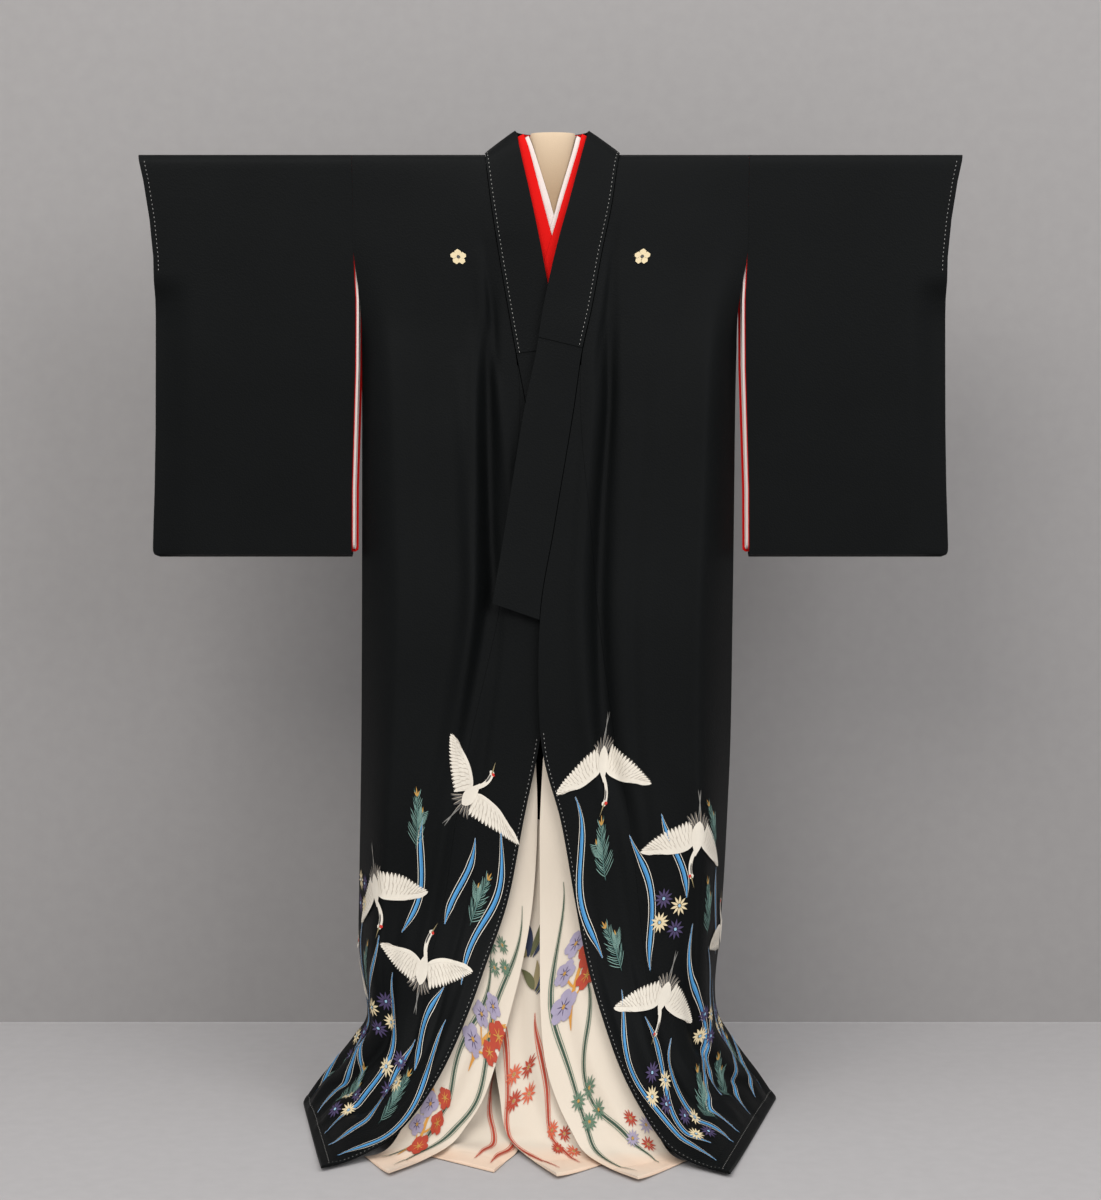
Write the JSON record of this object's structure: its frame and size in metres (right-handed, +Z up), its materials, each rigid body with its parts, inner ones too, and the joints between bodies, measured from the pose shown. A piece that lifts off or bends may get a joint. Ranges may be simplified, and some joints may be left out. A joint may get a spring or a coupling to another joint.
{
  "type": "wedding kimono on a display stand",
  "caption": "formal black wedding kimono in three layers with a painted hem spread on the floor, on a plain T-shaped display stand",
  "frame": {"origin": "centre of the flat underside of the stand's base, on the floor", "axes": "+Z up along the post, -Y out of the garment's front, +X to the wearer's left"},
  "size_m": [1.288, 0.6795, 1.5204],
  "materials": {
    "black_silk": "matte crepe",
    "red_silk": "soft satin",
    "white_silk": "soft satin",
    "cream_silk": "soft satin",
    "stand_metal": "satin",
    "beige_form": "matte"
  },
  "bodies": {
    "root": {"front_right": "black_silk", "front_left": "black_silk", "okumi_right": "black_silk", "okumi_left": "black_silk", "back_right": "black_silk", "back_left": "black_silk", "sleeve_right": "black_silk", "sleeve_left": "black_silk", "collar": "black_silk", "overcollar": "black_silk", "middle_collar": "red_silk", "middle_sleeve_right": "red_silk", "middle_sleeve_left": "red_silk", "middle_front_right": "cream_silk", "middle_front_left": "cream_silk", "inner_collar": "white_silk", "inner_sleeve_right": "white_silk", "inner_sleeve_left": "white_silk", "inner_front_right": "cream_silk", "inner_front_left": "cream_silk", "stand_base": "stand_metal", "stand_post": "stand_metal", "stand_arm_right": "stand_metal", "stand_arm_left": "stand_metal", "neck_form": "beige_form"}
  },
  "joints": []
}
